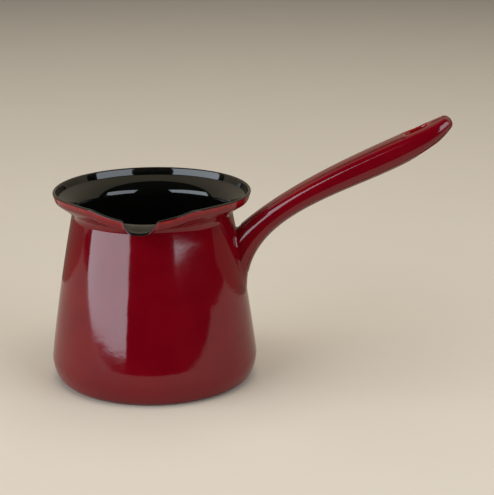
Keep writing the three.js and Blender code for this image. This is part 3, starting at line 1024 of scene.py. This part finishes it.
WINDOW_DISTANCE = 1.6
WINDOW_TINT = (0.82, 0.9, 1.0)
CEILING_TINT = (1, 0.96, 0.9)
WALL_TINT = (0.5, 0.43, 0.32)
FLOOR_SHADE = 0.78  # of the floor as the pot mirrors it
STAGE_REACH = 0.17  # of the mirrored floor in front of the pot and of the wall behind it
CAMERA_PLACE = Vector((94.2, -767.7, 287.9)) * MM
CAMERA_TURN = math.radians(3.5)
CAMERA_PITCH = math.radians(16.01)
CAMERA_ROLL = math.radians(0.16)
SENSOR = 36.0
FOCAL_WIDTHS = 1600 / 494  # focal length, in widths of the picture


def add_camera():
    level = Vector((-math.sin(CAMERA_TURN), math.cos(CAMERA_TURN), 0))
    forward = level * math.cos(CAMERA_PITCH) - Vector((0, 0, math.sin(CAMERA_PITCH)))
    right = forward.cross(Vector((0, 0, 1))).normalized()
    right = Matrix.Rotation(CAMERA_ROLL, 3, forward) @ right
    up = right.cross(forward)
    data = bpy.data.cameras.new("camera")
    data.sensor_fit = "HORIZONTAL"
    data.sensor_width = SENSOR
    data.lens = SENSOR * FOCAL_WIDTHS
    camera = bpy.data.objects.new("camera", data)
    turn = Matrix((right, up, -forward)).transposed()
    camera.matrix_world = Matrix.Translation(CAMERA_PLACE) @ turn.to_4x4()
    bpy.context.scene.collection.objects.link(camera)
    bpy.context.scene.camera = camera


def direction(azimuth, elevation):
    """Unit vector to an azimuth from straight ahead of the pot (-Y), and an elevation."""
    azimuth, elevation = math.radians(azimuth), math.radians(elevation)
    level = Vector((math.sin(azimuth), -math.cos(azimuth), 0)) * math.cos(elevation)
    return level + Vector((0, 0, math.sin(elevation)))


def add_light(name, place, aim, size, power, tint, glossy=True):
    data = bpy.data.lights.new(name, "AREA")
    data.shape = "RECTANGLE"
    data.size, data.size_y = size
    data.energy = power
    data.color = tint
    light = bpy.data.objects.new(name, data)
    turn = (aim - place).to_track_quat("-Z", "Y").to_matrix()
    light.matrix_world = Matrix.Translation(place) @ turn.to_4x4()
    light.visible_camera = False
    light.visible_glossy = glossy
    bpy.context.scene.collection.objects.link(light)


def add_plane(name, corners, material, seen, mirrored):
    """A flat part of the stage, shown to the camera or only mirrored in the pot's gloss."""
    bm = bmesh.new()
    bm.faces.new([bm.verts.new(corner) for corner in corners])
    plane = link_mesh(name, bm, material)
    plane.visible_glossy = mirrored
    for kind in ("camera", "diffuse", "transmission", "volume_scatter", "shadow"):
        setattr(plane, "visible_" + kind, seen)


def upright(half_width, wall, top):
    left, right = -half_width, half_width
    return [(left, wall, 0), (right, wall, 0), (right, wall, top), (left, wall, top)]


def level(left, right, front, back, height):
    return [(left, front, height), (right, front, height), (right, back, height), (left, back, height)]


def floor_material(name, tint):
    material, tree, shader = empty_material(name)
    place = add_node(tree, "ShaderNodeTexCoord").outputs["Object"]
    cloud = ramp(tree, noise_at(tree, place, 12.0, 4.0), 0.3, 0.7, 0.0, 0.12)
    darker = tuple(channel * 0.9 for channel in tint)
    base = blend_colour(tree, cloud, opaque(tint), opaque(darker))
    fill(tree, shader, {"Base Color": base, "Roughness": 0.85, "Specular IOR Level": 0.2})
    return material


def glow_material(name, tint):
    """A glow that is dimmer near the floor."""
    material = bpy.data.materials.new(name)
    tree = emptied_tree(material)
    place = add_node(tree, "ShaderNodeTexCoord").outputs["Object"]
    height = add_node(tree, "ShaderNodeSeparateXYZ", {"Vector": place}).outputs["Z"]
    glow = add_node(tree, "ShaderNodeEmission", {
        "Color": opaque(tint), "Strength": ramp(tree, height, 0.02, 0.25, 0.35, 1.0)})
    add_node(tree, "ShaderNodeOutputMaterial", {"Surface": glow.outputs[0]})
    return material


def set_world():
    """Pale behind the floor, dim everywhere else, like a room behind the camera."""
    world = bpy.data.worlds.new("room")
    bpy.context.scene.world = world
    tree = emptied_tree(world)
    seen = add_node(tree, "ShaderNodeBackground", {"Color": (0.62, 0.56, 0.47, 1), "Strength": 1.0})
    dim = add_node(tree, "ShaderNodeBackground", {"Color": (0.006, 0.005, 0.0045, 1), "Strength": 1.0})
    path = add_node(tree, "ShaderNodeLightPath")
    mixed = add_node(tree, "ShaderNodeMixShader", {
        0: path.outputs["Is Camera Ray"], 1: dim.outputs[0], 2: seen.outputs[0]})
    add_node(tree, "ShaderNodeOutputWorld", {"Surface": mixed.outputs[0]})


class Stage(bpy.types.Operator):
    """Build the camera, the pale floor, what the gloss mirrors and the soft light"""

    bl_idname = "wax_pot.stage"
    bl_label = "Stage"

    def execute(self, context):
        context.scene.view_settings.view_transform = "Standard"
        add_camera()
        set_world()
        pale = context.scene.wax_pot.finish.floor
        material = floor_material("Pale floor", pale)
        add_plane("floor", level(-6, 6, -6, 6, 0), material, seen=True, mirrored=False)
        shaded = floor_material("Shaded floor", tuple(FLOOR_SHADE * channel for channel in pale))
        add_plane("mirrored_floor", level(-1.2, 0.7, -STAGE_REACH, STAGE_REACH, 0.1 * MM), shaded,
                  seen=False, mirrored=True)
        add_plane("mirrored_wall", upright(2, STAGE_REACH, 1.2), glow_material("Wall glow", WALL_TINT),
                  seen=False, mirrored=True)
        pot_middle = Vector((0, 0, 0.05))
        left = direction(-54.5, 18) * WINDOW_DISTANCE
        right = direction(57, 24) * WINDOW_DISTANCE
        above = Vector((0.1, 0.1, 1.6))
        add_light("window_left", left, pot_middle, size=(1.88, 1.3), power=35, tint=WINDOW_TINT)
        add_light("window_right", right, pot_middle, size=(1.3, 1.0), power=16, tint=WINDOW_TINT)
        add_light("ceiling", above, pot_middle, size=(1.8, 1.8), power=22, tint=CEILING_TINT,
                  glossy=False)
        return {"FINISHED"}


# ---- Panel and registration ----

OPERATORS = (VesselSteel, OuterCoat, InnerCoat, HandleShells, HandleSeam, HandleCoat, RootWeld, Stage)


class PotSettings(bpy.types.PropertyGroup):
    """All sizes and finishes of the pot."""

    vessel: PointerProperty(name="Vessel", description="Sizes of the vessel", type=VesselSizes)
    lip: PointerProperty(name="Lip", description="Sizes of the pouring lip", type=LipSizes)
    handle: PointerProperty(name="Handle", description="Sizes of the handle", type=HandleSizes)
    finish: PointerProperty(name="Finish", description="Colours and gloss", type=Finishes)


class PotPanel(bpy.types.Panel):
    """Sizes, finishes and build buttons of the pot"""

    bl_idname = "WAX_POT_PT_build"
    bl_label = "Wax Melting Pot"
    bl_space_type = "VIEW_3D"
    bl_region_type = "UI"
    bl_category = "Wax Pot"

    def draw(self, context):
        pot = context.scene.wax_pot
        for operator in OPERATORS:
            self.layout.operator(operator.bl_idname)
        for settings in (pot.vessel, pot.lip, pot.handle, pot.finish):
            box = self.layout.box()
            for name in settings.__annotations__:
                box.prop(settings, name)


CLASSES = (VesselSizes, LipSizes, HandleSizes, Finishes, PotSettings, *OPERATORS, PotPanel)


def register():
    for cls in CLASSES:
        bpy.utils.register_class(cls)
    bpy.types.Scene.wax_pot = PointerProperty(
        name="Wax pot", description="Settings of the wax melting pot", type=PotSettings)


def unregister():
    del bpy.types.Scene.wax_pot
    for cls in reversed(CLASSES):
        bpy.utils.unregister_class(cls)


def main():
    register()
    for operator in OPERATORS:
        group, name = operator.bl_idname.split(".")
        getattr(getattr(bpy.ops, group), name)()


if __name__ == "__main__":
    main()
